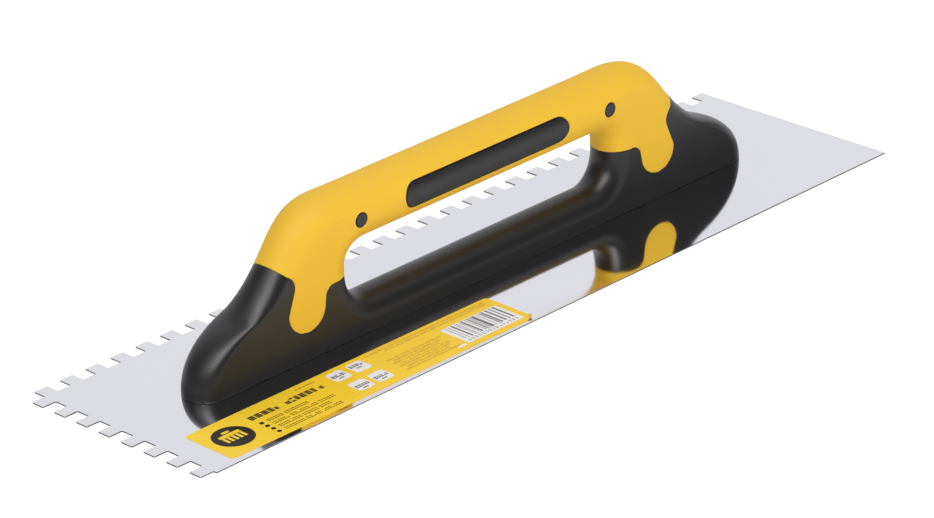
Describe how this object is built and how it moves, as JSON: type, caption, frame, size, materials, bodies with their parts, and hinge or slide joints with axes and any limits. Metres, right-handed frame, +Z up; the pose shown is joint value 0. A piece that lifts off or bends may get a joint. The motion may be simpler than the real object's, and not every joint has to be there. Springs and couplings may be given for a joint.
{
  "type": "notched trowel",
  "caption": "Notched trowel: thin polished rectangular blade, notched on one long and one short edge, with a closed two-colour handle on a full-length base.",
  "frame": {"origin": "centre of the blade's rectangle, on the working face (underside) of the blade", "axes": "+X along the blade away from the notched short edge, +Y towards the notched long edge, +Z up through the handle"},
  "size_m": [0.48, 0.13, 0.0779],
  "materials": {
    "blade": "mirror-polished stainless steel with faint handling scratches",
    "studs": "plain turned steel",
    "black_plastic": "satin moulded black plastic",
    "yellow_skin": "smooth soft-touch yellow skin",
    "black_pad": "satin black inlay",
    "plug": "dark grey plastic",
    "label": null
  },
  "bodies": {
    "root": {"blade": "blade", "weld_studs": "studs", "handle_core": "black_plastic", "grip_skin": "yellow_skin", "pad_front": "black_pad", "pad_back": "black_pad", "side_plugs": "plug", "label": "label"}
  },
  "joints": []
}
